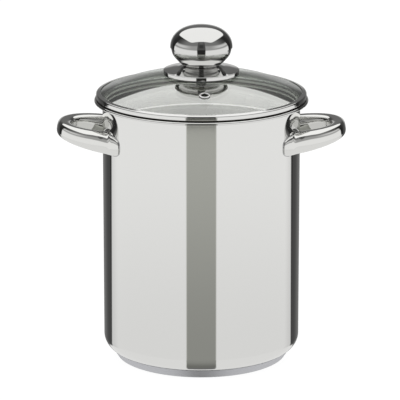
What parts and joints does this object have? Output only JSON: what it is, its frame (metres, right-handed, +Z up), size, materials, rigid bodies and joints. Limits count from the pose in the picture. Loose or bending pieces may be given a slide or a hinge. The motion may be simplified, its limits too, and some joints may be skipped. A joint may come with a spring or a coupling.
{
  "type": "water bath canner",
  "caption": "Tall polished steel stove-top canning pot with two loop handles, an encapsulated base, a domed glass lid with a steel ball knob, and a lift-out wire jar rack.",
  "frame": {"origin": "centre of the underside of the base, on the pot's axis", "axes": "+Z up along the pot's axis, +X to the right-hand loop handle, -Y the side the steam vent faces"},
  "size_m": [0.2342, 0.1732, 0.2754],
  "materials": {
    "polished_steel": "mirror-polished 18/10 stainless steel",
    "satin_steel": "satin spun stainless steel",
    "core_aluminium": "plain disc",
    "clear_glass": "clear tempered glass",
    "silicone": "matt silicone",
    "knob_steel": "mirror-polished stainless steel",
    "fastener_steel": "plain stainless hardware",
    "wire_steel": "electropolished stainless wire"
  },
  "bodies": {
    "pot": {"pot_body": "polished_steel", "base_core": "core_aluminium", "base_cap": "satin_steel", "handle_left": "polished_steel", "handle_right": "polished_steel"},
    "lid": {"lid_glass": "clear_glass", "lid_band": "polished_steel", "vent_eyelet": "polished_steel", "vent_washer": "silicone", "knob_gasket": "silicone", "glass_bush": "silicone", "lower_gasket": "silicone", "screw_washer": "fastener_steel", "spring_washer": "fastener_steel", "knob_screw": "fastener_steel"},
    "knob": {"knob_cap": "knob_steel", "knob_cup": "knob_steel", "knob_insert": "fastener_steel", "knob_rosette": "knob_steel"},
    "rack": {"rack_floor_ring": "wire_steel", "rack_floor_wires": "wire_steel", "rack_cross_bars": "wire_steel", "rack_feet": "wire_steel", "rack_uprights": "wire_steel", "rack_eye_posts": "wire_steel", "rack_mid_ring": "wire_steel", "rack_top_ring": "wire_steel"},
    "bail": {"rack_bail": "wire_steel"}
  },
  "joints": [
    {"name": "lid_lift", "type": "slide", "parent": "pot", "child": "lid", "axis": [0, 0, 1], "range_m": [0, 0.3]},
    {"name": "knob_turn", "type": "hinge", "parent": "lid", "child": "knob", "pos_m": [0, 0, 0.24285], "axis": [0, 0, 1], "continuous": true},
    {"name": "rack_lift", "type": "slide", "parent": "pot", "child": "rack", "axis": [0, 0, 1], "range_m": [0, 0.225]},
    {"name": "bail_swing", "type": "hinge", "parent": "rack", "child": "bail", "pos_m": [0, 0, 0.1285], "axis": [1, 0, 0], "range_deg": [0, 184]}
  ],
  "couplings": [
    {"joint": "rack_lift", "follows": "lid_lift", "ratio": 0.75}
  ]
}
